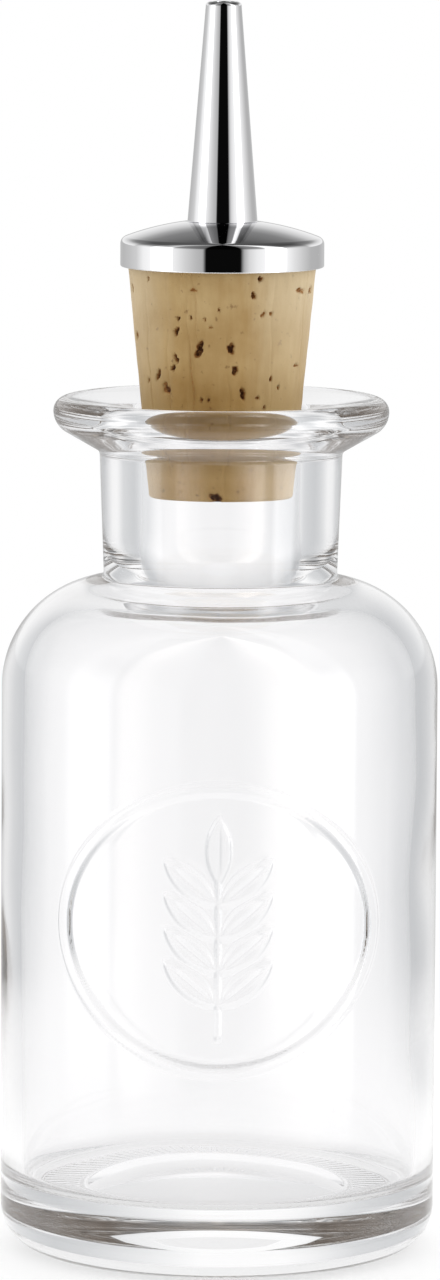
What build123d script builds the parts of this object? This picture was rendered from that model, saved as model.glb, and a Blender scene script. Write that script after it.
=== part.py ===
from build123d import *
import math
import os

# A 100 ml bitters bottle with a cork dasher stopper. Millimetres and degrees.
# The origin is the middle of the base, on the surface that the bottle stands on.
# +Z is up the bottle, and the front, with the round medallion, faces -Y.

# Glass: straight body, from the base up
body_radius = 25.0
body_straight = 60.0
body_wall = 2.6
heel_radius = 5.1
bearing_ring_width = 4.8
punt_depth = 2.9
floor_edge_height = 7.9
floor_middle_height = 9.4
floor_corner_round = 1.8

# Glass: shoulder and neck, measured out from the bore
bore_radius = 9.1
neck_root_wall = 4.25
neck_top_wall = 4.8
neck_height = 14.6
neck_root_round = 0.9
neck_inner_flare = 10.0
shoulder_overrun = 0.85

# Glass: flared lip, an edge above a cone, with a dished top
lip_overhang = 5.3
lip_flare_angle = 30.0
lip_edge_height = 3.35
lip_dish_angle = 9.0
lip_root_round = 0.8
lip_lower_round = 2.6
lip_upper_round = 1.55
lip_mouth_round = 1.6

# Glass: raised medallion on the front, a ring round a leafy sprig
medallion_height = 40.5
medallion_half_width = 17.3
medallion_half_height = 16.0
medallion_bead_width = 1.6
relief_height = 0.35
relief_root = 0.3
sprig_length = 19.0
sprig_drop = 3.0
sprig_stem_width = 0.9
leaf_length = 8.2
leaf_width = 3.1
leaf_pairs = 4
leaf_spread_angle = 50.0

# Cork: a taper that wedges in the bore's mouth
cork_length = 28.0
cork_insertion = 8.3
cork_taper_angle = 5.6
cork_edge_round = 0.45
neck_fit = 0.05

# Stem: a turned tube, pushed through the cork, with a collar on top
stem_radius = 2.3
stem_bore_radius = 1.2
barb_height = 0.25
barb_pitch = 4.2
barb_length = 2.2
barb_end_margin = 5.0
stem_fit = 0.05
collar_radius = 3.4
collar_height = 2.5
spigot_radius = 1.85
spigot_length = 6.0
spigot_chamfer = 0.3

# Restrictor: a plastic plug in the lower end of the stem
restrictor_flange = 0.6
restrictor_length = 4.0
restrictor_hole_radius = 0.5
restrictor_fit = 0.03

# Cap: a pressed shell over the cork's head
cap_wall = 0.6
cap_fit = 0.05
cap_skirt = 3.2
cap_crown_radius = 31.6
cap_inner_round = 0.3
cap_land_margin = 0.4
cap_hole_clearance = 0.1

# Spout: a turned and bored cone, standing on the cap
spout_length = 25.05
spout_base_radius = 4.0
spout_tip_radius = 2.0
spout_tip_round = 0.5
spout_tip_wall = 0.7
spout_foot_chamfer = 0.12
socket_fit = 0.05
socket_depth_spare = 0.2

# One overrun for every cut that has to run clear of a face, and how much of a short edge a round may use
overrun = 1.0
edge_use = 0.99


# Heights and radii that follow from the sizes above
body_inner_radius = body_radius - body_wall
punt_radius = body_radius - heel_radius - bearing_ring_width
neck_root_radius = bore_radius + neck_root_wall
neck_top_radius = bore_radius + neck_top_wall
lip_radius = neck_top_radius + lip_overhang
shoulder_radius = body_radius - neck_root_radius + shoulder_overrun
shoulder_axis_radius = body_radius - shoulder_radius
shoulder_z = heel_radius + body_straight
inner_shoulder_radius = shoulder_radius - body_wall
bore_foot_z = shoulder_z + math.sqrt(inner_shoulder_radius**2 - (shoulder_axis_radius - bore_radius) ** 2)
neck_root_z = shoulder_z + math.sqrt(shoulder_radius**2 - shoulder_overrun**2)
lip_root_z = neck_root_z + neck_height
lip_edge_z = lip_root_z + lip_overhang * math.tan(math.radians(lip_flare_angle))
lip_corner_z = lip_edge_z + lip_edge_height
mouth_corner_z = lip_corner_z - (lip_radius - bore_radius) * math.tan(math.radians(lip_dish_angle))
mouth_turn = math.radians(90 - lip_dish_angle)
seat_z = mouth_corner_z - lip_mouth_round * math.tan(mouth_turn / 2)

cork_slope = math.tan(math.radians(cork_taper_angle))
cork_seat_radius = bore_radius - neck_fit
cork_bottom_z = seat_z - cork_insertion
cork_top_z = cork_bottom_z + cork_length
cork_bottom_radius = cork_seat_radius - cork_insertion * cork_slope
cork_top_radius = cork_bottom_radius + cork_length * cork_slope
cork_bore_radius = stem_radius + barb_height + stem_fit

collar_top_z = cork_top_z + collar_height
cap_land_z = collar_top_z + cap_wall
cap_inner_radius = cork_top_radius + cap_fit
cap_radius = cap_inner_radius + cap_wall
cap_land_radius = spout_base_radius + cap_land_margin
crown_centre_z = cap_land_z - math.sqrt(cap_crown_radius**2 - cap_land_radius**2)
cap_corner_z = crown_centre_z + math.sqrt(cap_crown_radius**2 - cap_radius**2)
cap_rim_z = cap_corner_z - cap_skirt
spigot_top_z = cap_land_z + spigot_length
socket_top_z = spigot_top_z + socket_depth_spare
spout_top_z = cap_land_z + spout_length
channel_radius = spout_tip_radius - spout_tip_wall
stem_end_z = cork_bottom_z + restrictor_flange


def turn(*edges):
    """Turn a closed outline, drawn as (radius, height), into a solid about Z."""
    return revolve(Plane.XZ * make_face(list(edges)), Axis.Z)


def turn_face(face):
    """Turn a flat face, drawn as (radius, height), into a solid about Z."""
    return revolve(Plane.XZ * face, Axis.Z)


def round_corner(face, radius, height, fillet_radius):
    """Round the corner of a flat outline that lies nearest to (radius, height)."""
    corner = face.vertices().sort_by_distance((radius, height, 0))[0]
    return fillet(corner, fillet_radius)


def ball_arc(centre_height, ball_radius, inner_radius, outer_radius):
    """Arc centred on the axis, between two radii, so that it turns into part of a sphere."""
    outer_angle = math.degrees(math.acos(outer_radius / ball_radius))
    inner_angle = math.degrees(math.acos(inner_radius / ball_radius))
    return CenterArc((0, centre_height), ball_radius, outer_angle, inner_angle - outer_angle)


def shallow_dome(middle_height, edge_height, edge_radius):
    """Arc from the axis out to an edge that lies lower, as part of a sphere."""
    drop = middle_height - edge_height
    ball_radius = (edge_radius**2 + drop**2) / (2 * drop)
    return ball_arc(middle_height - ball_radius, ball_radius, 0, edge_radius)


def glass_outline():
    """Half section of the glass, with every corner still sharp."""
    lean = shoulder_radius / math.sqrt(2)
    inner_lean = inner_shoulder_radius / math.sqrt(2)
    punt = shallow_dome(punt_depth, 0, punt_radius)
    outer_side = Polyline((punt_radius, 0), (body_radius, 0), (body_radius, shoulder_z))
    shoulder = ThreePointArc(
        (body_radius, shoulder_z),
        (shoulder_axis_radius + lean, shoulder_z + lean),
        (neck_root_radius, neck_root_z),
    )
    neck_and_lip = Polyline(
        (neck_root_radius, neck_root_z),
        (neck_top_radius, lip_root_z),
        (lip_radius, lip_edge_z),
        (lip_radius, lip_corner_z),
        (bore_radius, mouth_corner_z),
        (bore_radius, bore_foot_z),
    )
    inner_shoulder = ThreePointArc(
        (bore_radius, bore_foot_z),
        (shoulder_axis_radius + inner_lean, shoulder_z + inner_lean),
        (body_inner_radius, shoulder_z),
    )
    inner_side = Line((body_inner_radius, shoulder_z), (body_inner_radius, floor_edge_height))
    floor = shallow_dome(floor_middle_height, floor_edge_height, body_inner_radius)
    middle = Line((0, floor_middle_height), (0, punt_depth))
    outside = [punt, *outer_side.edges(), shoulder, *neck_and_lip.edges()]
    return make_face([*outside, inner_shoulder, inner_side, floor, middle])


def leaf(length, width):
    """A pointed leaf, drawn from its stalk at the origin up along Y."""
    right = ThreePointArc((0, 0), (width / 2, length / 2), (0, length))
    left = ThreePointArc((0, length), (-width / 2, length / 2), (0, 0))
    return make_face([right, left])


def medallion_artwork():
    """The flat pattern of the medallion: a ring, and a stem with pairs of leaves."""
    half_bead = medallion_bead_width / 2
    outer = Ellipse(medallion_half_width + half_bead, medallion_half_height + half_bead)
    inner = Ellipse(medallion_half_width - half_bead, medallion_half_height - half_bead)
    sprig_foot = -sprig_drop - sprig_length / 2
    pattern = outer - inner + Pos(0, -sprig_drop) * Rectangle(sprig_stem_width, sprig_length)
    # The top leaf starts inside the stem, so that the two join
    pattern += Pos(0, sprig_foot + sprig_length - leaf_width / 2) * leaf(leaf_length, leaf_width)
    for pair in range(leaf_pairs):
        stalk_height = sprig_foot + sprig_length * (pair + 1) / (leaf_pairs + 1)
        for side in (-1, 1):
            pattern += (
                Pos(0, stalk_height) * Rot(0, 0, side * leaf_spread_angle) * leaf(leaf_length, leaf_width)
            )
    return pattern


def medallion():
    """The pattern raised out of the front of the body, rooted in the glass."""
    front = Pos(0, 0, medallion_height) * (Plane.XZ * medallion_artwork())
    stamp = extrude(front, body_radius + relief_height + overrun)
    height = 2 * (medallion_height + medallion_half_height + medallion_bead_width)
    skin = Cylinder(body_radius + relief_height, height) - Cylinder(body_radius - relief_root, height)
    return stamp & skin


def lip_edge_rounds():
    """Radii of the lip's two outer rounds, drawn in alike where its upright edge is too short for both."""
    lower_reach = lip_lower_round * math.tan(math.radians(90 - lip_flare_angle) / 2)
    upper_reach = lip_upper_round * math.tan(math.radians(90 + lip_dish_angle) / 2)
    shrink = min(1, edge_use * lip_edge_height / (lower_reach + upper_reach))
    return shrink * lip_lower_round, shrink * lip_upper_round


def glass_bottle():
    """Moulded glass: body, shoulder, neck and lip are one piece."""
    lower_round, upper_round = lip_edge_rounds()
    section = glass_outline()
    section = round_corner(section, body_radius, 0, heel_radius)
    section = round_corner(section, neck_root_radius, neck_root_z, neck_root_round)
    section = round_corner(section, neck_top_radius, lip_root_z, lip_root_round)
    section = round_corner(section, lip_radius, lip_edge_z, lower_round)
    section = round_corner(section, lip_radius, lip_corner_z, upper_round)
    section = round_corner(section, bore_radius, mouth_corner_z, lip_mouth_round)
    section = round_corner(section, bore_radius, bore_foot_z, neck_inner_flare)
    section = round_corner(section, body_inner_radius, floor_edge_height, floor_corner_round)
    return turn_face(section) + medallion()


def cork():
    """Tapered natural cork with a straight bore for the stem."""
    section = make_face(
        Polyline(
            (cork_bore_radius, cork_bottom_z),
            (cork_bottom_radius, cork_bottom_z),
            (cork_top_radius, cork_top_z),
            (cork_bore_radius, cork_top_z),
            close=True,
        ).edges()
    )
    section = round_corner(section, cork_bottom_radius, cork_bottom_z, cork_edge_round)
    section = round_corner(section, cork_top_radius, cork_top_z, cork_edge_round)
    return turn_face(section)


def stem():
    """Turned tube: barbs grip the cork, the collar carries the cap, the spigot holds the spout."""
    barb_radius = stem_radius + barb_height
    points = [(stem_bore_radius, stem_end_z), (stem_radius, stem_end_z)]
    first_barb_z = stem_end_z + barb_pitch / 2
    barb_count = int((cork_length - restrictor_flange - barb_end_margin) / barb_pitch)
    for barb in range(barb_count):
        foot_z = first_barb_z + barb * barb_pitch
        points += [
            (stem_radius, foot_z),
            (barb_radius, foot_z + barb_length),
            (stem_radius, foot_z + barb_length),
        ]
    points += [
        (stem_radius, cork_top_z),
        (collar_radius, cork_top_z),
        (collar_radius, collar_top_z),
        (spigot_radius, collar_top_z),
        (spigot_radius, spigot_top_z - spigot_chamfer),
        (spigot_radius - spigot_chamfer, spigot_top_z),
        (stem_bore_radius, spigot_top_z),
    ]
    return turn(*Polyline(*points, close=True).edges())


def restrictor():
    """Plug with a fine hole, pressed up into the stem until its flange meets the tube's end."""
    plug_radius = stem_bore_radius - restrictor_fit
    return turn(
        *Polyline(
            (restrictor_hole_radius, cork_bottom_z),
            (stem_radius, cork_bottom_z),
            (stem_radius, stem_end_z),
            (plug_radius, stem_end_z),
            (plug_radius, stem_end_z + restrictor_length),
            (restrictor_hole_radius, stem_end_z + restrictor_length),
            close=True,
        ).edges()
    )


def cap_blank(radius, crown_radius, land_z, edge_round):
    """Solid domed blank: skirt, rounded edge, crown and flat land."""
    land_radius = math.sqrt(crown_radius**2 - (land_z - crown_centre_z) ** 2)
    corner_z = crown_centre_z + math.sqrt(crown_radius**2 - radius**2)
    skirt = Polyline(
        (land_radius, land_z),
        (0, land_z),
        (0, cap_rim_z),
        (radius, cap_rim_z),
        (radius, corner_z),
    )
    blank = make_face([*skirt.edges(), ball_arc(crown_centre_z, crown_radius, land_radius, radius)])
    return turn_face(round_corner(blank, radius, corner_z, edge_round))


def cap():
    """Pressed shell of even wall, pierced for the stem's spigot."""
    outer = cap_blank(cap_radius, cap_crown_radius, cap_land_z, cap_inner_round + cap_wall)
    inner = cap_blank(cap_inner_radius, cap_crown_radius - cap_wall, cap_land_z - cap_wall, cap_inner_round)
    hole = Cylinder(spigot_radius + cap_hole_clearance, 2 * (cap_wall + overrun))
    return outer - inner - Pos(0, 0, cap_land_z) * hole


def spout():
    """Turned cone: a socket for the spigot below, then a straight channel to the tip."""
    section = make_face(
        Polyline(
            (spigot_radius + socket_fit, cap_land_z),
            (spout_base_radius, cap_land_z),
            (spout_tip_radius, spout_top_z),
            (channel_radius, spout_top_z),
            (channel_radius, socket_top_z),
            (spigot_radius + socket_fit, socket_top_z),
            close=True,
        ).edges()
    )
    tip_round = min(spout_tip_round, edge_use * spout_tip_wall)
    section = round_corner(section, spout_tip_radius, spout_top_z, tip_round)
    foot = section.vertices().sort_by_distance((spout_base_radius, cap_land_z, 0))[0]
    return turn_face(chamfer(foot, spout_foot_chamfer))


pieces = {
    "glass_bottle": glass_bottle,
    "cork": cork,
    "stem_tube": stem,
    "flow_restrictor": restrictor,
    "cap": cap,
    "spout": spout,
}

os.makedirs("parts", exist_ok=True)
for name, make in pieces.items():
    export_step(make(), f"parts/{name}.step")

print("overall height", round(spout_top_z, 2), "lip top near", round(lip_corner_z, 2))
print("seat", round(seat_z, 2), "cork", round(cork_bottom_z, 2), "to", round(cork_top_z, 2))
print("cap", round(cap_rim_z, 2), "to", round(cap_land_z, 2), "radius", round(cap_radius, 2))
print("bearing ring", round(punt_radius, 2), "to", round(body_radius - heel_radius, 2))
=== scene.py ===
import math

import bpy
import numpy as np
from mathutils import Matrix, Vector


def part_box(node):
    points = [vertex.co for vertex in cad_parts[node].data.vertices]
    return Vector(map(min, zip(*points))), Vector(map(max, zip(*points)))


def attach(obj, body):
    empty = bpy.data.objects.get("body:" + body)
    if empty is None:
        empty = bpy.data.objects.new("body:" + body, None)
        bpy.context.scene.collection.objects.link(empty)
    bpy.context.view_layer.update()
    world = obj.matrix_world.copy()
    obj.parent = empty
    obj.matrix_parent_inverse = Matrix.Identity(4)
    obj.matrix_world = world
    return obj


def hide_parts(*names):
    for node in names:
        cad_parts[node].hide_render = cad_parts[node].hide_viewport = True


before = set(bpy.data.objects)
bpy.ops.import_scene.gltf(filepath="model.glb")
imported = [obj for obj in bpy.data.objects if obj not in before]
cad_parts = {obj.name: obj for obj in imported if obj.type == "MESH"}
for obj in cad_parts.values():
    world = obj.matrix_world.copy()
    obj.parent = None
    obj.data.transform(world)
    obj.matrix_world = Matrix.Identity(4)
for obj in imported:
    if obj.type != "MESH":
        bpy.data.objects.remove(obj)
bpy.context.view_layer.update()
scene = bpy.context.scene


# Camera: well in front of the bottle, a little above its spout, with a long lens.
# The slight roll leans the bottle to the right, as in the photograph.
camera_distance = 0.920
camera_height = 0.182
camera_pitch = math.radians(6.919)
camera_roll = math.radians(0.34)
camera_focal_pixels = 8078.3
photo_height_pixels = 1280
sensor_millimetres = 36.0

camera_data = bpy.data.cameras.new("camera")
camera_data.sensor_width = sensor_millimetres
camera_data.lens = camera_focal_pixels / photo_height_pixels * sensor_millimetres
camera = bpy.data.objects.new("camera", camera_data)
camera.matrix_world = (
    Matrix.Translation((0, -camera_distance, camera_height))
    @ Matrix.Rotation(math.pi / 2 - camera_pitch, 4, "X")
    @ Matrix.Rotation(camera_roll, 4, "Z")
)
scene.collection.objects.link(camera)
scene.camera = camera
scene.view_settings.view_transform = "Standard"


# Glass bottle: one piece of moulded soda-lime glass, with a thick floor over a shallow punt,
# a flared lip for a clean pour, and a round medallion raised on its front.
body_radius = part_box("glass_bottle")[1].x
body_wall = 0.0026
heel_radius = 0.0051
bearing_ring_width = 0.0048
punt_depth = 0.0029
floor_edge_height = 0.0079
floor_middle_height = 0.0094
floor_corner_round = 0.0018
body_top = 0.0651
bore_radius = 0.0091
neck_root_radius = bore_radius + 0.00425
neck_top_radius = bore_radius + 0.0048
neck_height = 0.0146
shoulder_overrun = 0.00085
neck_root_round = 0.0009
neck_inner_flare = 0.0100
lip_radius = neck_top_radius + 0.0053
lip_flare = math.radians(30)
lip_edge_height = 0.00335
lip_dish = math.radians(9)
lip_root_round = 0.0008
lip_lower_round = 0.0026
lip_upper_round = 0.00155
lip_mouth_round = 0.0016
inner_wave_height = 0.00006
inner_wave_length = 0.016
glass_tint = (0.988, 0.986, 0.990, 1)
scuff_height = 0.0001

# Medallion: an oval bead round a sprig of leaves
medallion_height = 0.0405
medallion_half_width = 0.0173
medallion_half_height = 0.0160
medallion_bead = 0.0016
relief_height = 0.00035
relief_edge = 0.00035
sprig_length = 0.0190
sprig_drop = 0.0030
sprig_stem_width = 0.0009
leaf_length = 0.0082
leaf_width = 0.0031
leaf_pairs = 4
leaf_spread = math.radians(50)
leaf_groove = 0.55

# Fine bars moulded across the ring that the bottle stands on
stipple_bars = 96
stipple_height = 0.00012


def smooth(x):
    """Ease from 0 to 1 as x goes from 0 to 1: three x squared less two x cubed."""
    x = np.clip(x, 0, 1)
    return x * x * (3 - 2 * x)


def arc(centre, radius, start, stop, spacing):
    """Points along a circle between two angles in degrees, about one spacing apart."""
    count = max(2, int(abs(math.radians(stop - start)) * radius / spacing) + 2)
    turn = np.radians(np.linspace(start, stop, count))
    return np.column_stack([centre[0] + radius * np.cos(turn), centre[1] + radius * np.sin(turn)])


def dome(middle_height, edge_height, edge_radius, stop_radius, spacing):
    """Outline of a shallow dome, as part of a sphere through its middle and its edge, without the middle."""
    drop = middle_height - edge_height
    ball = (edge_radius**2 + drop**2) / (2 * drop)
    radius = np.linspace(0, stop_radius, int(stop_radius / spacing) + 2)[1:]
    return np.column_stack([radius, middle_height - ball + np.sqrt(ball**2 - radius**2)])


def rounded(corners, spacing):
    """Outline through sharp corners, each (radius, height, round): a round is the arc that touches both
    sides, so it starts at round times the tangent of half the turn from the corner."""
    corners = np.asarray(corners, float)
    ends = corners[:, :2]
    outline = [ends[:1]]
    for before, corner, after, size in zip(ends[:-2], ends[1:-1], ends[2:], corners[1:-1, 2]):
        come, go = corner - before, after - corner
        come, go = come / np.hypot(*come), go / np.hypot(*go)
        turn = math.atan2(come[0] * go[1] - come[1] * go[0], come @ go)
        side = np.array([-come[1], come[0]]) * math.copysign(size, turn)
        start = corner - come * size * math.tan(abs(turn) / 2)
        steps = max(3, int(size * abs(turn) / spacing) + 2) if size else 1
        swing = np.linspace(0, turn, steps)[:, None]
        spoke = -side * np.cos(swing) + np.array([side[1], -side[0]]) * np.sin(swing)
        outline.append(start + side + spoke if size else corner[None])
    return np.vstack([*outline, ends[-1:]])


def fill_runs(outline, spacing):
    """The same outline with its long straight runs cut into even steps."""
    steps = np.maximum(1, np.ceil(np.hypot(*np.diff(outline, axis=0).T) / spacing).astype(int))
    parts = [
        start + (stop - start) * np.arange(count)[:, None] / count
        for start, stop, count in zip(outline[:-1], outline[1:], steps)
    ]
    return np.vstack([*parts, outline[-1:]])


def full_turn(count):
    """Even angles once round, from the back."""
    return np.linspace(-math.pi, math.pi, count, endpoint=False)


def finer_front(reach, front_count, side_count):
    """Angles once round, from the back, closer together within the reach either side of the front."""
    runs = [(-math.pi, -reach, side_count), (-reach, reach, front_count), (reach, math.pi, side_count)]
    return np.concatenate([np.linspace(low, high, count, endpoint=False) for low, high, count in runs])


def lathe(outline, angles):
    """Grid of points (rows, columns, 3): each outline point (radius, height) carried round the axis, where
    an angle runs from the front, -Y, towards +X."""
    radius, height = outline[:, :1], outline[:, 1:]
    flat = np.ones_like(angles)
    return np.stack([radius * np.sin(angles), -radius * np.cos(angles), height * flat], axis=-1)


def grid_faces(rows, columns, first=0, wrap_rows=False):
    """Quads of a grid that closes on itself across its columns, and along its rows too if asked."""
    index = first + np.arange(rows * columns).reshape(rows, columns)
    below = index if wrap_rows else index[:-1]
    above = np.roll(index, -1, axis=0) if wrap_rows else index[1:]
    corners = [below, np.roll(below, -1, axis=1), np.roll(above, -1, axis=1), above]
    return np.stack(corners, axis=-1).reshape(-1, 4)


def ring_strip(below, above, below_angles, above_angles):
    """Triangles between two rings whose points are spaced unlike: going round both together, each step
    along one ring makes a triangle with the point last reached on the other."""
    below_ends = np.append(below_angles[1:], math.pi)
    above_ends = np.append(above_angles[1:], math.pi)
    apex_above = above[np.searchsorted(above_ends, below_ends, "left") % len(above)]
    apex_below = below[np.searchsorted(below_ends, above_ends, "right") % len(below)]
    along_below = np.stack([below, np.roll(below, -1), apex_above], axis=-1)
    along_above = np.stack([np.roll(above, -1), above, apex_below], axis=-1)
    return np.vstack([along_below, along_above])


def join_bands(bands, first_end, last_end):
    """Points and faces of one closed skin. Bands of rings, each (grid, angles), follow each other with a
    strip of triangles between, and a fan closes each end to a point on the axis."""
    faces, points, first, last_ring, last_angles = [], [], 0, None, None
    for band, angles in bands:
        rows, columns = band.shape[:2]
        faces.append(grid_faces(rows, columns, first))
        if last_ring is not None:
            faces.append(ring_strip(last_ring, first + np.arange(columns), last_angles, angles))
        points.append(band.reshape(-1, 3))
        first += rows * columns
        last_ring, last_angles = first - columns + np.arange(columns), angles
    first_ring = np.arange(len(bands[0][1]))
    faces.append(np.stack([np.full_like(first_ring, first), np.roll(first_ring, -1), first_ring], axis=-1))
    faces.append(np.stack([last_ring, np.roll(last_ring, -1), np.full_like(last_ring, first + 1)], axis=-1))
    points.append(np.array([first_end, last_end]))
    return np.vstack(points), faces


def ripples(points, wavelength, seed):
    """Random waves, about -1 to 1: the sum of twelve plane waves of one length, each with a heading and a
    start drawn from the seed."""
    draw = np.random.default_rng(seed)
    heading = draw.normal(size=(12, 3))
    heading *= 2 * math.pi / wavelength / np.linalg.norm(heading, axis=1, keepdims=True)
    start = draw.uniform(0, 2 * math.pi, 12)
    return np.cos(points @ heading.T + start).sum(axis=-1) / 4


def leaf_rise(x, y):
    """Distance inside the edge of a pointed leaf that grows up y from the origin: its two sides are arcs,
    so it is the arc's radius less the distance to the arc's centre."""
    bow = (leaf_length**2 + leaf_width**2) / (4 * leaf_width)
    return bow - np.hypot(np.abs(x) + bow - leaf_width / 2, y - leaf_length / 2)


def medallion_relief(x, z):
    """Height of the raised pattern at a place on the front: an oval bead round a stem with pairs of leaves,
    each with a groove along its middle. Every edge eases over relief_edge."""
    z = z - medallion_height
    share = np.hypot(x / medallion_half_width, z / medallion_half_height) + 1e-9
    off_bead = np.hypot(x, z) * np.abs(1 - 1 / share)
    relief = smooth((medallion_bead / 2 - off_bead) / relief_edge)
    foot = -sprig_drop - sprig_length / 2
    off_stem = np.maximum(np.abs(x) - sprig_stem_width / 2, np.abs(z + sprig_drop) - sprig_length / 2)
    relief = np.maximum(relief, smooth(-off_stem / relief_edge))
    stalks = [(foot + sprig_length - leaf_width / 2, 0.0)]
    for pair in range(leaf_pairs):
        stalk = foot + sprig_length * (pair + 1) / (leaf_pairs + 1)
        stalks += [(stalk, leaf_spread), (stalk, -leaf_spread)]
    for stalk, lean in stalks:
        along = (z - stalk) * math.cos(lean) - x * math.sin(lean)
        across = (z - stalk) * math.sin(lean) + x * math.cos(lean)
        rise = smooth(leaf_rise(across, along) / relief_edge)
        groove = leaf_groove * smooth(1 - np.abs(across) / relief_edge) * smooth(along / leaf_width)
        relief = np.maximum(relief, rise * (1 - groove * smooth((leaf_length - along) / leaf_width)))
    return relief_height * relief


def finish_mesh(name, points, faces, sharp_angle=180.0):
    """Object made of points and faces, shaded smooth up to the given angle in degrees."""
    mesh = bpy.data.meshes.new(name)
    mesh.from_pydata(points.reshape(-1, 3).tolist(), [], [face for group in faces for face in group.tolist()])
    mesh.polygons.foreach_set("use_smooth", np.ones(len(mesh.polygons), bool))
    if sharp_angle < 180:
        mesh.set_sharp_from_angle(angle=math.radians(sharp_angle))
    piece = bpy.data.objects.new(name, mesh)
    scene.collection.objects.link(piece)
    return piece


def add_node(tree, kind, inputs=(), **settings):
    """New node with its settings, and with its inputs set or linked by name or by place."""
    node = tree.nodes.new(kind)
    for name, value in settings.items():
        setattr(node, name, value)
    for key, value in dict(inputs).items():
        if isinstance(value, bpy.types.NodeSocket):
            tree.links.new(value, node.inputs[key])
        else:
            node.inputs[key].default_value = value
    return node


def new_material(name):
    """New material, and its node tree with nothing in it."""
    material = bpy.data.materials.new(name)
    material.use_nodes = True
    material.node_tree.nodes.clear()
    return material, material.node_tree


def finish_material(tree, shader):
    """Join the shader to the material's output."""
    add_node(tree, "ShaderNodeOutputMaterial", {"Surface": shader.outputs[0]})


def own_place(tree):
    """Place on a piece, in metres from its origin."""
    return add_node(tree, "ShaderNodeTexCoord").outputs["Object"]


def noise(tree, place, scale, detail):
    """Random clouds, about 0 to 1, read at a place."""
    inputs = {"Vector": place, "Scale": scale, "Detail": detail}
    return add_node(tree, "ShaderNodeTexNoise", inputs).outputs[0]


def bumps(tree, height, strength, distance):
    """Normals of a surface that a height of 0 to 1 raises by up to the distance."""
    inputs = {"Height": height, "Strength": strength, "Distance": distance}
    return add_node(tree, "ShaderNodeBump", inputs).outputs[0]


def calculate(tree, operation, *values):
    """Result of a Math node on numbers or sockets."""
    return add_node(tree, "ShaderNodeMath", dict(enumerate(values)), operation=operation).outputs[0]


def map_range(tree, value, low, high, to_low=0.0, to_high=1.0, ease="LINEAR"):
    """Value carried from the range low to high over to the range to_low to to_high, and held at its ends."""
    inputs = {0: value, 1: low, 2: high, 3: to_low, 4: to_high}
    return add_node(tree, "ShaderNodeMapRange", inputs, interpolation_type=ease).outputs[0]


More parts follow.
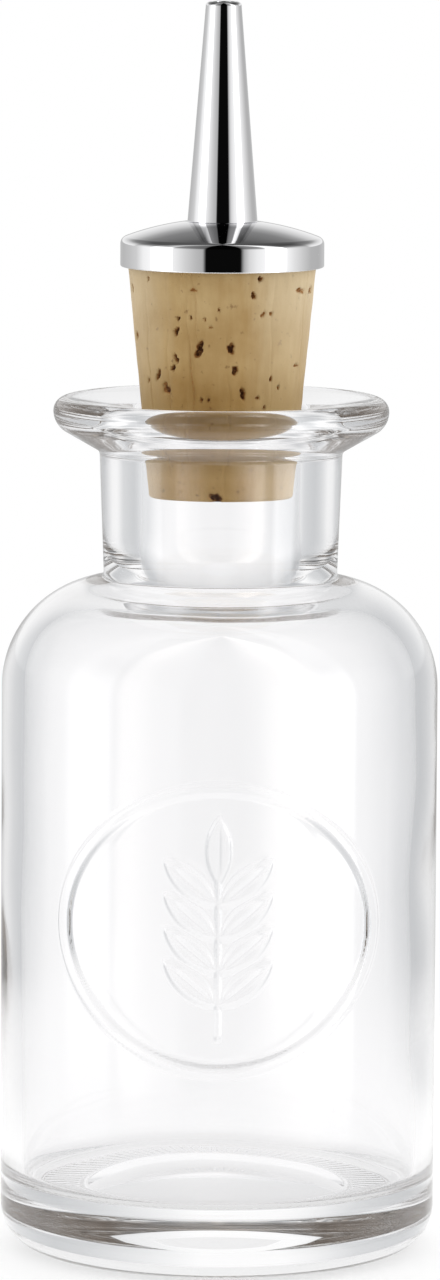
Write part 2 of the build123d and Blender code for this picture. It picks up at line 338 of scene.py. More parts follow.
def glass_bottle():
    """The bottle as one closed skin, from the middle of the punt out, up, over the lip, and down the inside
    to the middle of the floor. Rows near the medallion and the bearing ring are finer."""
    ring_outer = body_radius - heel_radius
    ring_inner = ring_outer - bearing_ring_width
    shoulder_round = body_radius - neck_root_radius + shoulder_overrun
    shoulder_middle = body_radius - shoulder_round
    neck_root = body_top + math.sqrt(shoulder_round**2 - shoulder_overrun**2)
    lip_root = neck_root + neck_height
    lip_edge = lip_root + (lip_radius - neck_top_radius) * math.tan(lip_flare)
    lip_corner = lip_edge + lip_edge_height
    mouth_corner = lip_corner - (lip_radius - bore_radius) * math.tan(lip_dish)
    inner_radius = body_radius - body_wall
    inner_round = shoulder_round - body_wall
    flare_radius = bore_radius + neck_inner_flare
    flare_reach = flare_radius - shoulder_middle
    flare_height = body_top + math.sqrt((neck_inner_flare + inner_round)**2 - flare_reach**2)
    flare_turn = math.degrees(math.atan2(flare_height - body_top, flare_reach))
    medallion_low = medallion_height - medallion_half_height - medallion_bead
    medallion_top = medallion_height + medallion_half_height + medallion_bead

    def wall(low, high, spacing):
        """Straight run up the outside of the body."""
        return fill_runs(np.array([[body_radius, low], [body_radius, high]]), spacing)

    # The punt and the heel keep a hair's breadth from the ring, and the shoulder stops short of the neck
    hair = 0.0001
    heel_start, shoulder_stop = -88, 81.5
    fine, coarse = 0.0003, 0.0012
    punt = dome(punt_depth, 0, ring_inner, ring_inner - hair, spacing=0.0007)
    ring = np.column_stack([np.linspace(ring_inner, ring_outer, 14), np.zeros(14)])
    heel = arc((ring_outer, heel_radius), heel_radius, heel_start, 0, spacing=0.0006)
    lower_wall = wall(heel_radius + coarse, medallion_low - coarse, coarse)
    medallion_wall = wall(medallion_low, medallion_top, fine)
    upper_wall = wall(medallion_top + coarse, body_top - coarse, coarse)
    shoulder = arc((shoulder_middle, body_top), shoulder_round, 0, shoulder_stop, spacing=0.0007)
    corners = [
        (*shoulder[-1], 0),
        (neck_root_radius, neck_root, neck_root_round),
        (neck_top_radius, lip_root, lip_root_round),
        (lip_radius, lip_edge, lip_lower_round),
        (lip_radius, lip_corner, lip_upper_round),
        (bore_radius, mouth_corner, lip_mouth_round),
        (bore_radius, flare_height, 0),
    ]
    neck = fill_runs(rounded(corners, spacing=0.0002), spacing=0.0009)[1:]
    flare = arc((flare_radius, flare_height), neck_inner_flare, 180, 180 + flare_turn, spacing=0.0004)[1:]
    inner_shoulder = arc((shoulder_middle, body_top), inner_round, flare_turn, 0, spacing=0.0007)[1:]
    floor_reach = inner_radius - 0.003
    floor = dome(floor_middle_height, floor_edge_height, inner_radius, floor_reach, spacing=0.0008)[::-1]
    corners = [
        (inner_radius, body_top, 0),
        (inner_radius, floor_edge_height, floor_corner_round),
        (*floor[0], 0),
    ]
    inner_wall = fill_runs(rounded(corners, spacing=0.0003), spacing=0.0016)[1:-1]

    around, around_ring = full_turn(170), full_turn(600)
    front = math.asin((medallion_half_width + medallion_bead) / body_radius)
    around_medallion = finer_front(front, 226, 36)
    stippled = lathe(ring, around_ring)
    bar = smooth(0.5 + np.cos(stipple_bars * around_ring))
    across = np.linspace(0, 1, len(ring))[:, None]
    stippled[..., 2] += stipple_height * (1 - bar * smooth(6 * np.minimum(across, 1 - across)))
    raised = lathe(medallion_wall, around_medallion)
    relief = medallion_relief(raised[..., 0], raised[..., 2]) * (raised[..., 1] < 0)
    raised[..., :2] *= 1 + relief[..., None] / body_radius
    inside = lathe(np.vstack([inner_shoulder, inner_wall, floor]), around)
    clear_of_neck = smooth(np.hypot(inside[..., 0], inside[..., 1]) / bore_radius - 1)
    wave = ripples(inside, inner_wave_length, seed=3) * clear_of_neck
    inside[..., :2] *= 1 - inner_wave_height * wave[..., None] / inner_radius

    bands = [
        (lathe(punt, around), around),
        (stippled, around_ring),
        (lathe(np.vstack([heel, lower_wall]), around), around),
        (raised, around_medallion),
        (lathe(np.vstack([upper_wall, shoulder, neck, flare]), around), around),
        (inside, around),
    ]
    points, faces = join_bands(bands, (0, 0, punt_depth), (0, 0, floor_middle_height))
    return finish_mesh("glass_bottle", points, faces)


def clear_glass():
    """Clear glass with a faint orange peel from the mould, scuffed on the ring that it stands on."""
    material, tree = new_material("clear_glass")
    place = own_place(tree)
    peel = noise(tree, place, scale=190.0, detail=1.0)
    scuffs = noise(tree, place, scale=900.0, detail=3.0)
    height = add_node(tree, "ShaderNodeSeparateXYZ", {0: place}).outputs["Z"]
    standing = map_range(tree, height, 0.0, scuff_height, 0.3, 0.0)
    shader = add_node(tree, "ShaderNodeBsdfPrincipled", {
        "Base Color": glass_tint,
        "Roughness": calculate(tree, "MULTIPLY", standing, scuffs),
        "IOR": 1.52,
        "Transmission Weight": 1.0,
        "Normal": bumps(tree, peel, strength=0.02, distance=0.0004),
    })
    finish_material(tree, shader)
    return material


bottle = glass_bottle()
bottle.data.materials.append(clear_glass())
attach(bottle, "bottle")
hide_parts("glass_bottle")


# Cork: ground from one piece of bark, tapered so that it wedges in the mouth, and bored for the stem.
# The dark pits are the bark's own pores, cut open by the grinding.
cork_low, cork_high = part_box("cork")
cork_bottom, cork_top = cork_low.z, cork_high.z
cork_taper = math.tan(math.radians(5.6))
cork_top_radius = cork_high.x
cork_edge_round = 0.00045
cork_bore = 0.0026
cork_grain_height = 0.00004
cork_grain_length = 0.0011
cork_grain_stretch = 0.35
cork_pit_depth = 0.0009
cork_back_pits = 46
cork_back_start = 1.5
cork_finer_reach = 1.7
cork_tan = (0.43, 0.275, 0.105, 1)
cork_light_tan = (0.56, 0.395, 0.185, 1)
cork_fleck_color = (0.20, 0.10, 0.035, 1)
# Pore colours: the pores' own, and also painted shade along the veins
cork_pore_rim_color = (0.36, 0.165, 0.045, 1)
cork_pore_color = (0.085, 0.028, 0.006, 1)
white = (1, 1, 1, 1)
# Where the mouth's lip covers the cork, a brown ring of painted shade darkens it and fades out upwards, and
# the foot below is painted lighter, as painted light through the glass. Both multiply the colour of the grain
cork_lip_shade_low = 0.0915
cork_lip_shade_high = 0.1115
cork_lip_shade_sway = 0.003
cork_lip_shade_color = (0.76, 0.66, 0.47, 1)
cork_foot_light_color = (1.28, 1.20, 1.06, 1)
# Painted sheen: the grain is painted paler at the sides, as light glancing off them: pairs of (share of the
# way across from -X to +X, paleness)
cork_side_sheen_shares = [
    (0.0, 0.5), (0.08, 0.42), (0.24, 0.0), (0.62, 0.05), (0.76, 0.42), (0.92, 0.55), (1.0, 0.55),
]
cork_side_sheen_sway = 0.27
cork_side_sheen_color = (0.68, 0.575, 0.40, 1)

# Each pore on the front: degrees from the front, height above the foot, width, tallness (in
# millimetres), lean in degrees, depth share
cork_front_pits = [
    (-3.5, 0.35, 1.3, 1.7, 0, 0.8),
    (-15, 17.2, 0.9, 2.3, 28, 1.0),
    (6, 17.4, 1.2, 1.0, 60, 0.9),
    (-42, 12.6, 1.3, 1.3, 0, 0.55),
    (15, 12.2, 0.65, 1.6, -20, 0.8),
    (9, 14.9, 0.8, 1.1, 35, 0.7),
    (-31, 19.2, 0.7, 1.0, 10, 0.7),
    (-32, 16.1, 0.6, 1.2, -15, 0.7),
    (-35, 15.0, 0.7, 0.8, 0, 0.6),
    (-49, 14.0, 0.6, 1.7, 25, 0.8),
    (20, 23.4, 0.6, 0.9, 0, 0.7),
    (24, 25.3, 0.6, 0.8, 20, 0.6),
    (-76, 23.7, 0.9, 0.9, 0, 0.7),
    (-29, 20.7, 0.6, 0.35, 0, 0.6),
    (-20, 20.9, 0.35, 0.35, 0, 0.5),
    (-18, 24.0, 0.9, 0.6, 15, 0.3),
    (-11, 20.7, 0.5, 0.5, 0, 0.3),
    (-7, 19.8, 0.5, 0.4, 0, 0.3),
    (58, 23.7, 2.3, 0.6, 8, 0.35),
    (27, 21.2, 0.5, 1.0, 30, 0.35),
    (33, 21.3, 0.8, 0.4, -20, 0.35),
    (61, 15.1, 2.6, 0.35, 4, 0.3),
    (36, 13.8, 0.5, 0.6, 0, 0.5),
    (43, 12.8, 0.4, 0.5, 0, 0.5),
    (26, 11.7, 0.5, 0.5, 40, 0.5),
    (32, 10.6, 0.5, 0.4, 0, 0.5),
    (-14, 11.5, 0.5, 0.4, 0, 0.5),
    (-9, 11.5, 0.35, 0.45, 0, 0.5),
    (-2, 21.8, 0.35, 0.35, 0, 0.4),
    (-52, 25.0, 0.5, 0.5, 0, 0.5),
    (-61, 13.3, 0.5, 0.6, 0, 0.5),
    (-76, 18.2, 1.0, 1.2, 10, 0.7),
    (74, 23.6, 1.2, 0.9, 0, 0.7),
]

# Each vein: degrees from the front, depth share. The share sinks a furrow and also darkens it with painted
# shade
cork_front_veins = [
    (-57, 0.14), (-38, 0.13), (-27, 0.10), (-21.5, 0.17), (-18, 0.12), (4, 0.09), (35, 0.09), (66, 0.12),
]
cork_vein_width = 0.00013


def cork_veins(angle, height, radius):
    """Depth share of the veins at each place: narrow furrows that run up the grain and sway a little. In the
    material the same share paints shade into them.
    """
    depth = np.zeros_like(height)
    for degrees, share in cork_front_veins:
        sway = 0.00025 * np.sin(350 * height + degrees) + 0.0001 * np.sin(1100 * height + 2 * degrees)
        across = np.angle(np.exp(1j * (angle - math.radians(degrees)))) * radius - sway
        fading = 0.6 + 0.4 * np.sin(240 * height + 3 * degrees)
        depth = np.maximum(depth, share * fading * np.exp(-(across / cork_vein_width) ** 2))
    return depth


def cork_pits(angle, height, radius):
    """Depth share of the pores at each place, 0 to 1: every pore is a leaning oval with a wavy edge, deep in
    its middle. The front ones are listed one by one, and those behind are drawn from a seed."""
    draw = np.random.default_rng(11)
    pits = []
    for turn, rise, width, tall, lean, share in cork_front_pits:
        pits.append((math.radians(turn), rise / 1000, width / 1000, tall / 1000, math.radians(lean), share))
    for _ in range(cork_back_pits):
        turn = draw.uniform(cork_back_start, 2 * math.pi - cork_back_start)
        size = 0.0003 + 0.0011 * draw.random() ** 2
        stretch = draw.uniform(0.6, 1.8)
        rise, lean, share = draw.uniform(0.001, 0.027), draw.uniform(-0.7, 0.7), draw.uniform(0.3, 1)
        pits.append((turn, rise, size, size * stretch, lean, share))
    depth = np.zeros_like(height)
    for turn, rise, width, tall, lean, share in pits:
        swing = np.angle(np.exp(1j * (angle - turn)))
        x, y = swing * radius, height - rise
        along = x * math.sin(lean) + y * math.cos(lean)
        across = x * math.cos(lean) - y * math.sin(lean)
        heading = np.arctan2(along, across)
        starts = draw.uniform(0, 2 * math.pi, 3)
        edge = 1 + 0.22 * np.sin(2 * heading + starts[0]) + 0.16 * np.sin(3 * heading + starts[1])
        edge += 0.12 * np.sin(5 * heading + starts[2])
        reach = np.hypot(2 * across / width, 2 * along / tall) / edge
        depth = np.maximum(depth, share * smooth(1.6 * (1.1 - reach)))
    return depth


def cork_stopper():
    """Tapered stopper with a straight bore: a closed outline carried round the axis, roughened by fine waves
    and sunk at the pores."""
    bottom_radius = cork_top_radius - (cork_top - cork_bottom) * cork_taper
    corners = [
        (cork_bore, cork_bottom, 0),
        (bottom_radius, cork_bottom, cork_edge_round),
        (cork_top_radius, cork_top, cork_edge_round),
        (cork_bore, cork_top, 0),
    ]
    outline = rounded(corners, spacing=0.0001)
    side = outline[:, 0] > bottom_radius - 0.001
    foot, wall, head = outline[:1], outline[side], outline[~side][1:]
    foot = fill_runs(np.vstack([foot, wall[:1]]), spacing=0.0005)[:-1]
    head = fill_runs(np.vstack([wall[-1:], head]), spacing=0.0005)[1:]
    wall = fill_runs(wall, spacing=0.0002)
    outline = np.vstack([foot, wall, head])
    around = finer_front(cork_finer_reach, 390, 75)
    points = lathe(outline, around)
    radius = np.hypot(points[..., 0], points[..., 1])
    angle = np.broadcast_to(around, radius.shape)
    height = points[..., 2] - cork_bottom
    on_wall = np.zeros((len(outline), 1))
    on_wall[len(foot):len(foot) + len(wall)] = 1
    # The pores' dark colour is their own; the veins' dark colour, through the same attribute, is painted
    # shade
    pits = np.maximum(cork_pits(angle, height, radius), cork_veins(angle, height, radius)) * on_wall
    grain = 0.5 + 0.5 * ripples(points * [1, 1, cork_grain_stretch], cork_grain_length, seed=5)
    sink = on_wall * (cork_grain_height * grain) + cork_pit_depth * pits
    points[..., :2] *= 1 - sink[..., None] / radius[..., None]
    faces = grid_faces(len(outline), len(around), wrap_rows=True)
    piece = finish_mesh("cork", points, [faces], sharp_angle=50)
    share = piece.data.attributes.new("pore_and_vein_shade", "FLOAT", "POINT")
    share.data.foreach_set("value", pits.ravel().astype(np.float32))
    return piece


def color_ramp(tree, share, stops):
    """Colour read at a share from 0 to 1, out of pairs of (share, colour)."""
    ramp = add_node(tree, "ShaderNodeValToRGB", {0: share})
    elements = ramp.color_ramp.elements
    elements.remove(elements[-1])
    for number, (place, color) in enumerate(stops):
        stop = elements.new(place) if number else elements[0]
        stop.position = place
        stop.color = color
    return ramp.outputs[0]


def mixed(tree, share, first, second, blend="MIX"):
    """Colour between two others, by share, or the two blended."""
    inputs = {0: share, 6: first, 7: second}
    return add_node(tree, "ShaderNodeMix", inputs, data_type="RGBA", blend_type=blend).outputs[2]


def natural_cork():
    """Ground cork: tan grain with brown flecks, painted sheen at the sides, painted shade under the lip,
    painted light on the foot, dark ragged pores, and painted shade along the veins.
    """
    material, tree = new_material("natural_cork")
    place = own_place(tree)
    along_grain = add_node(tree, "ShaderNodeMapping", {"Vector": place, "Scale": (1.0, 1.0, 0.10)}).outputs[0]
    streaks = noise(tree, along_grain, scale=1100.0, detail=4.0)
    clouds = noise(tree, place, scale=210.0, detail=4.0)
    tone = add_node(tree, "ShaderNodeMix", {0: 0.72, 2: streaks, 3: clouds}).outputs[0]
    grain = color_ramp(tree, tone, [(0.34, cork_tan), (0.66, cork_light_tan)])
    flecks = map_range(tree, noise(tree, place, scale=1300.0, detail=2.0), 0.66, 0.76, 0.0, 0.65)
    flecked = mixed(tree, flecks, grain, cork_fleck_color)

    # Painted sheen: the sides, across X, are painted paler, as light glancing off them
    flat = add_node(tree, "ShaderNodeVectorMath", {0: place, 1: (1, 1, 0)}, operation="MULTIPLY").outputs[0]
    outward = add_node(tree, "ShaderNodeVectorMath", {0: flat}, operation="NORMALIZE").outputs[0]
    sideways = add_node(tree, "ShaderNodeSeparateXYZ", {0: outward}).outputs["X"]
    sideways = calculate(tree, "MULTIPLY_ADD", streaks, cork_side_sheen_sway, sideways)
    across = map_range(tree, sideways, cork_side_sheen_sway / 2 - 1, cork_side_sheen_sway / 2 + 1)
    side_sheen_greys = [(share, (level, level, level, 1)) for share, level in cork_side_sheen_shares]
    with_side_sheen = mixed(tree, color_ramp(tree, across, side_sheen_greys), flecked, cork_side_sheen_color)

    # Painted shade in a ring under the lip, and painted light on the foot below it
    height = add_node(tree, "ShaderNodeSeparateXYZ", {0: place}).outputs["Z"]
    height = calculate(tree, "MULTIPLY_ADD", clouds, cork_lip_shade_sway, height)
    lip_shade_and_foot_light = color_ramp(tree, map_range(tree, height, cork_lip_shade_low, cork_lip_shade_high), [
        (0.0, cork_foot_light_color), (0.22, cork_lip_shade_color), (0.42, cork_lip_shade_color), (1.0, white),
    ])
    with_lip_shade = mixed(tree, 1.0, with_side_sheen, lip_shade_and_foot_light, "MULTIPLY")

    fine = noise(tree, place, scale=2600.0, detail=3.0)
    ragged = calculate(tree, "MULTIPLY_ADD", fine, 3.4, -0.7)
    pore_and_vein_shade = add_node(tree, "ShaderNodeAttribute", attribute_name="pore_and_vein_shade").outputs["Fac"]
    torn = calculate(tree, "MULTIPLY", ragged, pore_and_vein_shade)
    # Dark pore colour, which along the veins is painted shade
    pore_and_vein_shade_color = color_ramp(tree, torn, [(0.22, cork_pore_rim_color), (0.70, cork_pore_color)])
    shader = add_node(tree, "ShaderNodeBsdfPrincipled", {
        "Base Color": mixed(tree, map_range(tree, torn, 0.12, 0.26), with_lip_shade, pore_and_vein_shade_color),
        "Roughness": 0.68,
        "Specular IOR Level": 0.25,
        "Sheen Weight": 0.05,
        "Sheen Roughness": 0.45,
        "Normal": bumps(tree, fine, strength=0.5, distance=0.00008),
    })
    finish_material(tree, shader)
    return material


cork = cork_stopper()
cork.data.materials.append(natural_cork())
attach(cork, "cork")
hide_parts("cork")


# Stem: a turned and plated tube, pushed down through the cork. Its barbs hold it there, its collar
# carries the cap, and the spout is pressed on its spigot.
stem_low, stem_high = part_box("stem_tube")
stem_radius = 0.0023
stem_bore = 0.0012
barb_height = 0.00025
barb_pitch = 0.0042
barb_length = 0.0022
barb_count = 5
collar_radius = stem_high.x
collar_height = 0.0025
spigot_radius = 0.00185
stem_edge = 0.0002
stem_color = (0.62, 0.61, 0.60, 1)


def polish_haze():
    """Node group: roughness of a handled, polished metal, as faint smears over a base value."""
    group = bpy.data.node_groups.new("polish_haze", "ShaderNodeTree")
    for name, value in (("Scale", 90.0), ("Polish", 0.03), ("Haze", 0.05)):
        group.interface.new_socket(name, in_out="INPUT", socket_type="NodeSocketFloat").default_value = value
    group.interface.new_socket("Roughness", in_out="OUTPUT", socket_type="NodeSocketFloat")
    given = group.nodes.new("NodeGroupInput")
    smear = noise(group, own_place(group), given.outputs["Scale"], detail=5.0)
    haze = map_range(group, smear, 0.5, 0.8)
    rough = calculate(group, "MULTIPLY_ADD", haze, given.outputs["Haze"], given.outputs["Polish"])
    add_node(group, "NodeGroupOutput", {0: rough})
    return group


haze_group = polish_haze()


def plated_metal(name, color, polish, haze, scale, ring_height=0.0, ring_scale=1.0):
    """Plated metal: smeared polish, and turning marks as fine rings up the axis where they are asked for."""
    material, tree = new_material(name)
    smears = tree.nodes.new("ShaderNodeGroup")
    smears.node_tree = haze_group
    smears.inputs["Scale"].default_value = scale
    smears.inputs["Polish"].default_value = polish
    smears.inputs["Haze"].default_value = haze
    rings = add_node(tree, "ShaderNodeTexWave", {
        "Vector": own_place(tree), "Scale": ring_scale, "Distortion": 0.4, "Detail": 2.0,
    }, bands_direction="Z")
    shader = add_node(tree, "ShaderNodeBsdfPrincipled", {
        "Base Color": color,
        "Metallic": 1.0,
        "Roughness": smears.outputs[0],
        "Normal": bumps(tree, rings.outputs[1], strength=1.0, distance=ring_height),
    })
    finish_material(tree, shader)
    return material


def turned_piece(name, outline, spokes, sharp_angle):
    """Closed outline carried round the axis in even steps."""
    faces = grid_faces(len(outline), spokes, wrap_rows=True)
    return finish_mesh(name, lathe(outline, full_turn(spokes)), [faces], sharp_angle)


def barbed_stem():
    """Tube with a row of barbs, a collar and a spigot, as a closed outline carried round the axis."""
    collar_top = cork_top + collar_height
    corners = [(stem_bore, stem_low.z, 0), (stem_radius, stem_low.z, stem_edge)]
    for barb in range(barb_count):
        foot = stem_low.z + (barb + 0.5) * barb_pitch
        corners += [
            (stem_radius, foot, 0),
            (stem_radius + barb_height, foot + barb_length, stem_edge / 10),
            (stem_radius, foot + barb_length, 0),
        ]
    corners += [
        (stem_radius, cork_top, 0),
        (collar_radius, cork_top, stem_edge),
        (collar_radius, collar_top, stem_edge),
        (spigot_radius, collar_top, 0),
        (spigot_radius, stem_high.z, stem_edge),
        (stem_bore, stem_high.z, 0),
    ]
    outline = fill_runs(rounded(corners, spacing=0.0001), spacing=0.002)
    return turned_piece("stem_tube", outline, spokes=96, sharp_angle=35)


stem = barbed_stem()
stem.data.materials.append(plated_metal(
    "stem_metal", stem_color, polish=0.16, haze=0.12, scale=300.0, ring_height=0.000004, ring_scale=900.0,
))
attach(stem, "dasher")
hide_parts("stem_tube")


# Flow restrictor: a small moulded plug pressed up into the stem's lower end, with the fine hole that
# meters each dash. Its flange closes on the end of the tube.
plug_low, plug_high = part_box("flow_restrictor")
plug_radius = 0.00117
plug_flange = 0.0006
plug_hole = 0.0005
plug_edge = 0.00012
plug_color = (0.80, 0.79, 0.73, 1)
plug_light_color = (0.90, 0.90, 0.86, 1)


def flow_restrictor():
    """Flanged plug with a fine hole, as a closed outline carried round the axis."""
    corners = [
        (plug_hole, plug_low.z, 0),
        (plug_high.x, plug_low.z, plug_edge),
        (plug_high.x, plug_low.z + plug_flange, plug_edge),
        (plug_radius, plug_low.z + plug_flange, 0),
        (plug_radius, plug_high.z, plug_edge),
        (plug_hole, plug_high.z, 0),
    ]
    outline = fill_runs(rounded(corners, spacing=0.00005), spacing=0.001)
    return turned_piece("flow_restrictor", outline, spokes=72, sharp_angle=35)


def moulded_plastic():
    """Natural polythene: waxy, off-white, with the faint mottling of a small moulding."""
    material, tree = new_material("restrictor_plastic")
    mottle = noise(tree, own_place(tree), scale=700.0, detail=2.0)
    shader = add_node(tree, "ShaderNodeBsdfPrincipled", {
        "Base Color": mixed(tree, mottle, plug_color, plug_light_color),
        "Roughness": 0.42,
        "Subsurface Weight": 0.2,
        "Subsurface Scale": 0.001,
        "Normal": bumps(tree, mottle, strength=0.3, distance=0.00003),
    })
    finish_material(tree, shader)
    return material


restrictor = flow_restrictor()
restrictor.data.materials.append(moulded_plastic())
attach(restrictor, "dasher")
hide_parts("flow_restrictor")


# Cap: a pressed and chromed shell that covers the cork's head. It is held between the stem's collar and
# the spout's foot, and its rim stands a little proud of the cork.
cap_low, cap_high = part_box("cap")
cap_wall = 0.0006
cap_radius = cap_high.x
cap_skirt_start = 0.001
cap_crown_radius = 0.0316
cap_crown_start = 2.2
cap_land_radius = 0.0044
cap_inner_round = 0.0003
cap_hole = 0.00195
cap_rim_round = 0.00018
chrome_color = (0.93, 0.93, 0.94, 1)


def cap_shell():
    """Shell of even wall: skirt, rounded edge and crown outside, then the hole, and the same inside. The
    crown is part of a sphere whose centre is on the axis."""
    crown_middle = cap_high.z - math.sqrt(cap_crown_radius**2 - cap_land_radius**2)

    def crown(ball, radius, land_height, edge_round):
        """From the skirt over the edge round and in along the crown to the flat land. The crown's own arc
        starts a few degrees in from the edge, which leaves room for the round."""
        corner = crown_middle + math.sqrt(ball**2 - radius**2)
        start = math.degrees(math.acos(radius / ball)) + cap_crown_start
        land = math.degrees(math.asin((land_height - crown_middle) / ball))
        curve = arc((0, crown_middle), ball, start, land, spacing=0.0002)
        edge = [(radius, cap_low.z + cap_skirt_start, 0), (radius, corner, edge_round), (*curve[0], 0)]
        return np.vstack([rounded(edge, spacing=0.00004)[1:], curve[1:]])

    outer = crown(cap_crown_radius, cap_radius, cap_high.z, cap_inner_round + cap_wall)
    inner = crown(cap_crown_radius - cap_wall, cap_radius - cap_wall, cap_high.z - cap_wall, cap_inner_round)
    rim = [
        (*inner[0], 0),
        (cap_radius - cap_wall, cap_low.z, cap_rim_round),
        (cap_radius, cap_low.z, cap_rim_round),
        (*outer[0], 0),
    ]
    rim = rounded(rim, spacing=0.00003)
    hole = [(cap_hole, cap_high.z), (cap_hole, cap_high.z - cap_wall)]
    outline = np.vstack([rim[:-1], outer, hole, inner[::-1]])[1:]
    return turned_piece("cap", fill_runs(outline, spacing=0.0006), spokes=288, sharp_angle=45)


cap = cap_shell()
cap.data.materials.append(plated_metal("cap_chrome", chrome_color, polish=0.02, haze=0.03, scale=120.0))
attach(cap, "dasher")
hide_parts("cap")


# Spout: a turned, bored and chromed cone. Its socket grips the stem's spigot, its foot holds the cap
# down, and its fine tip gives single drops.
spout_low, spout_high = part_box("spout")
spout_tip_radius = 0.0020
spout_tip_round = 0.0005
spout_mouth_round = 0.0001
spout_channel = 0.0013
spout_socket = 0.0019
spout_socket_depth = 0.0062
spout_foot_chamfer = 0.00012


def spout_cone():
    """Cone with a straight channel above a wider socket, as a closed outline carried round the axis."""
    foot, tip = spout_low.z, spout_high.z
    corners = [
        (spout_socket, foot, 0),
        (spout_high.x, foot, spout_foot_chamfer),
        (spout_tip_radius, tip, spout_tip_round),
        (spout_channel, tip, spout_mouth_round),
        (spout_channel, foot + spout_socket_depth, 0),
        (spout_socket, foot + spout_socket_depth, 0),
    ]
    outline = fill_runs(rounded(corners, spacing=0.00004), spacing=0.001)
    return turned_piece("spout", outline, spokes=192, sharp_angle=45)


spout = spout_cone()
spout.data.materials.append(plated_metal("spout_chrome", chrome_color, polish=0.02, haze=0.03, scale=150.0))
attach(spout, "dasher")
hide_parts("spout")


# Floor and studio: a plain pale floor that fades out into a soft white room. The room is brighter at the
# sides than above, and greyer towards its corners. The camera sees plain white behind the bottle.
floor_radius = 0.24
floor_fade_start = 0.07
floor_color = (0.40, 0.40, 0.40, 1)
floor_glow = 0.60
light_bounces = 64
# All but metal and glass is lit evenly, only less from this heading, over the camera's left shoulder
front_heading = (-0.26, -0.966, 0.0)
front_light = 0.76
rear_light = 1.50

# Grey levels of the room, as pairs of (degrees, level). Metal reflects these, going round from the camera
# towards +X
mirror_levels = [
    (-180, 0.56), (-150, 0.50), (-131, 0.56), (-114, 0.65), (-101, 0.93), (-90, 1.0), (-84, 2.0), (-70, 2.5),
    (-61, 2.5), (-58, 0.93), (-56, 0.91), (-42, 0.67), (-30, 0.52), (-22, 0.45), (-19, 0.003), (21, 0.003),
    (25, 0.45), (31, 0.72), (40, 0.9), (50, 1.0), (56, 4.5), (73, 4.5), (78, 1.0), (90, 0.80), (104, 0.63),
    (120, 0.48), (140, 0.46), (160, 0.56), (180, 0.56),
]
# times these, going up from the horizon
overhead_levels = [
    (-90, 1.0), (8, 1.0), (15, 0.85), (20, 0.68), (25, 0.42), (30, 0.26), (38, 0.18), (45, 0.10), (90, 0.10),
]
# but no less than these, behind the bottle and above the camera
rear_wall_level = 0.9
front_ceiling_level = 0.28
# Clear glass shows these, going round from the middle of each of the room's four walls to its corners
corner_levels = [
    (-45, 0.60), (-38, 0.63), (-30, 0.68), (-24, 0.80), (-18, 0.92), (-12, 1.0), (3, 1.0), (8, 0.92),
    (14, 0.83), (20, 0.74), (28, 0.64), (38, 0.58), (45, 0.60),
]
# and, where the glass has turned the light back, these, going round from the camera towards +X
window_levels = [
    (-180, 1.0), (-88, 1.0), (-80, 0.68), (-66, 0.60), (-61, 0.80), (-56, 2.4), (-48, 2.6), (-36, 1.4),
    (-24, 0.9), (-14, 0.2), (9, 0.1), (15, 0.6), (24, 1.6), (36, 3.0), (46, 4.4), (54, 4.2), (60, 1.4),
    (66, 0.60), (80, 0.68), (88, 1.0), (180, 1.0),
]
# Straight through two walls of glass, the room is greyer in a band 20 to 45 degrees up
ceiling_levels = [
    (-90, 1.0), (12, 1.0), (20, 0.80), (27, 0.52), (36, 0.52), (44, 0.85), (52, 0.95), (90, 0.90),
]
# These greys are faintly cool
wall_warmth = -0.08
# Light that has bounced about inside thick glass is dimmer and browner, by the number of bounces, and
# after more than four of them it is streaky, by the upward part of its heading
bounce_levels = [(0, 1.0), (4, 1.0), (7, 0.90), (9, 0.40), (12, 0.16), (18, 0.20), (24, 0.24)]
bounce_warmth = 0.3
streak_levels = [
    (-1.0, 0.2), (-0.6, 1.0), (-0.4, 0.4), (-0.2, 1.0), (0.0, 0.85), (0.2, 1.0), (0.4, 0.3), (0.75, 0.2),
    (1.0, 0.4),
]
# Under the bottle the floor is in its shade: pairs of (metres from the axis, level)
shade_levels = [(0.0, 0.74), (0.022, 0.76), (0.028, 0.86), (0.045, 0.97), (0.07, 1.0)]


def studio_floor():
    """Flat disc, as rings of points round the bottle's axis."""
    rings, spokes = 12, 96
    outline = np.column_stack([np.linspace(0.001, floor_radius, rings), np.zeros(rings)])
    spoke = np.arange(spokes)
    middle = np.stack([np.full(spokes, rings * spokes), spoke, np.roll(spoke, -1)], axis=-1)
    points = np.vstack([lathe(outline, full_turn(spokes)).reshape(-1, 3), [[0, 0, 0]]])
    return finish_mesh("studio_floor", points, [grid_faces(rings, spokes)[:, ::-1], middle])


def level_ramp(tree, value, levels, warmth=0.0):
    """Level read from a list of pairs of (value, level): grey, or browner as it gets darker, or cooler where
    the warmth is below 0."""
    low, high = levels[0][0], levels[-1][0]
    return color_ramp(tree, map_range(tree, value, low, high), [
        ((place - low) / (high - low), (level, level ** (1 + warmth / 2), level ** (1 + warmth), 1))
        for place, level in levels
    ])


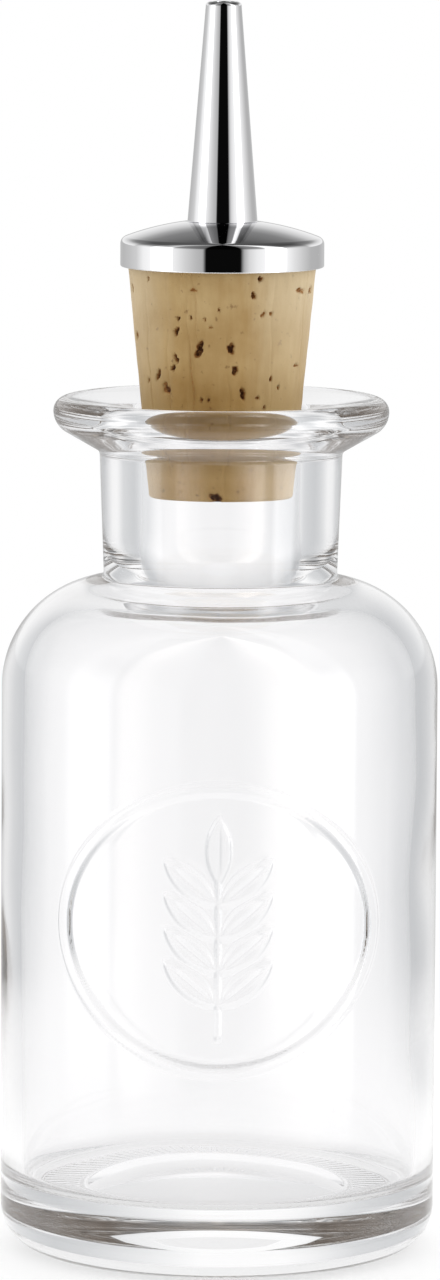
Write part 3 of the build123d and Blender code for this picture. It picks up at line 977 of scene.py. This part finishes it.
def pale_floor():
    """Pale floor that the camera and metal see as white, apart from the shadow on it. Glass shows it by its
    distance from the bottle. It fades out with distance, so that the room shows beyond it, and can't be seen
    from below."""
    material, tree = new_material("pale_floor")
    paths = add_node(tree, "ShaderNodeLightPath").outputs
    reach = add_node(tree, "ShaderNodeVectorMath", {0: own_place(tree)}, operation="LENGTH")
    distance = reach.outputs["Value"]
    seen = calculate(tree, "MAXIMUM", paths["Is Camera Ray"], paths["Is Glossy Ray"])
    diffuse = add_node(tree, "ShaderNodeBsdfDiffuse", {"Color": floor_color})
    glow = add_node(tree, "ShaderNodeEmission", {"Strength": calculate(tree, "MULTIPLY", seen, floor_glow)})
    shaded = add_node(tree, "ShaderNodeAddShader", {0: diffuse.outputs[0], 1: glow.outputs[0]})
    shade = level_ramp(tree, distance, shade_levels)
    dimmed = level_ramp(tree, paths["Glossy Depth"], bounce_levels, bounce_warmth)
    through = add_node(tree, "ShaderNodeEmission", {"Color": mixed(tree, 1.0, shade, dimmed, "MULTIPLY")})
    near = add_node(tree, "ShaderNodeMixShader", {
        0: paths["Is Transmission Ray"], 1: shaded.outputs[0], 2: through.outputs[0],
    })
    faded = map_range(tree, distance, floor_fade_start, floor_radius, ease="SMOOTHSTEP")
    below = add_node(tree, "ShaderNodeNewGeometry").outputs["Backfacing"]
    clear = add_node(tree, "ShaderNodeBsdfTransparent")
    finish_material(tree, add_node(tree, "ShaderNodeMixShader", {
        0: calculate(tree, "MAXIMUM", faded, below), 1: near.outputs[0], 2: clear.outputs[0],
    }))
    return material


def mirror_room(tree, from_camera, upward):
    """The room that metal reflects: its levels going round times its levels going up, each held up to the
    least level of the rear wall and of the front ceiling."""
    aside = calculate(tree, "ABSOLUTE", from_camera)
    behind = map_range(tree, aside, 100.0, 125.0, 0.0, rear_wall_level, "SMOOTHSTEP")
    rear_wall = map_range(tree, upward, 0.0, 6.0, 0.0, behind, "SMOOTHSTEP")
    walls = mixed(tree, 1.0, level_ramp(tree, from_camera, mirror_levels), rear_wall, "LIGHTEN")
    front_ceiling = map_range(tree, aside, 100.0, 60.0, 0.0, front_ceiling_level)
    above = mixed(tree, 1.0, level_ramp(tree, upward, overhead_levels), front_ceiling, "LIGHTEN")
    return mixed(tree, 1.0, walls, above, "MULTIPLY")


def glass_room(tree, paths, heading, from_camera, upward):
    """The room that clear glass shows: its corners all round, but its windows in front, in light that the
    glass has turned back and that has met few surfaces. The ceiling and the dimming are multiplied over
    that. Depths are whole numbers, so each is compared with a number and a half."""
    bounces, crossings = paths["Glossy Depth"], paths["Transmission Depth"]
    unbounced = calculate(tree, "LESS_THAN", bounces, 0.5)
    two_walls = calculate(tree, "GREATER_THAN", crossings, 2.5)
    from_back = calculate(tree, "DEGREES", calculate(tree, "ARCTAN2", heading["X"], heading["Y"]))
    from_wall = calculate(tree, "WRAP", from_back, 45.0, -45.0)
    corners = level_ramp(tree, from_wall, corner_levels, wall_warmth)
    windows = level_ramp(tree, from_camera, window_levels, wall_warmth)
    rear = map_range(tree, calculate(tree, "ABSOLUTE", from_camera), 88.0, 94.0)
    many_surfaces = calculate(tree, "GREATER_THAN", calculate(tree, "ADD", bounces, crossings), 3.5)
    plain = calculate(tree, "MAXIMUM", calculate(tree, "MAXIMUM", rear, many_surfaces), unbounced)
    walls = mixed(tree, plain, windows, corners)
    ceiling = level_ramp(tree, upward, ceiling_levels, wall_warmth)
    straight = calculate(tree, "MULTIPLY", unbounced, two_walls)
    room = mixed(tree, straight, walls, ceiling, "MULTIPLY")

    dimmed = level_ramp(tree, bounces, bounce_levels, bounce_warmth)
    many_bounces = calculate(tree, "GREATER_THAN", bounces, 4.5)
    dimmed = mixed(tree, many_bounces, dimmed, level_ramp(tree, heading["Z"], streak_levels), "MULTIPLY")
    return mixed(tree, 1.0, room, mixed(tree, two_walls, dimmed, white), "MULTIPLY")


def studio_room():
    """World: white for the camera, soft boxes for metal, white walls with grey corners for glass, and an
    even light, weaker from the front, for everything else."""
    world = bpy.data.worlds.new("studio_room")
    world.use_nodes = True
    tree = world.node_tree
    tree.nodes.clear()
    paths = add_node(tree, "ShaderNodeLightPath").outputs
    toward = add_node(tree, "ShaderNodeTexCoord").outputs["Generated"]
    heading = add_node(tree, "ShaderNodeSeparateXYZ", {0: toward}).outputs
    backward = calculate(tree, "MULTIPLY", heading["Y"], -1.0)
    from_camera = calculate(tree, "DEGREES", calculate(tree, "ARCTAN2", heading["X"], backward))
    upward = calculate(tree, "DEGREES", calculate(tree, "ARCSINE", heading["Z"]))
    frontward = add_node(tree, "ShaderNodeVectorMath", {0: toward, 1: front_heading}, operation="DOT_PRODUCT")
    even = map_range(tree, frontward.outputs["Value"], -0.2, 1.0, rear_light, front_light)
    room = mixed(tree, paths["Is Glossy Ray"], even, mirror_room(tree, from_camera, upward))
    through = glass_room(tree, paths, heading, from_camera, upward)
    room = mixed(tree, paths["Is Transmission Ray"], room, through)
    room = mixed(tree, paths["Is Camera Ray"], room, white)
    room = mixed(tree, paths["Diffuse Depth"], room, even)
    background = add_node(tree, "ShaderNodeBackground", {"Color": room, "Strength": 1.0})
    add_node(tree, "ShaderNodeOutputWorld", {"Surface": background.outputs[0]})
    world.cycles.sampling_method = "NONE"
    return world


floor = studio_floor()
floor.data.materials.append(pale_floor())
scene.world = studio_room()
scene.cycles.max_bounces = light_bounces
scene.cycles.transmission_bounces = light_bounces
scene.cycles.glossy_bounces = light_bounces
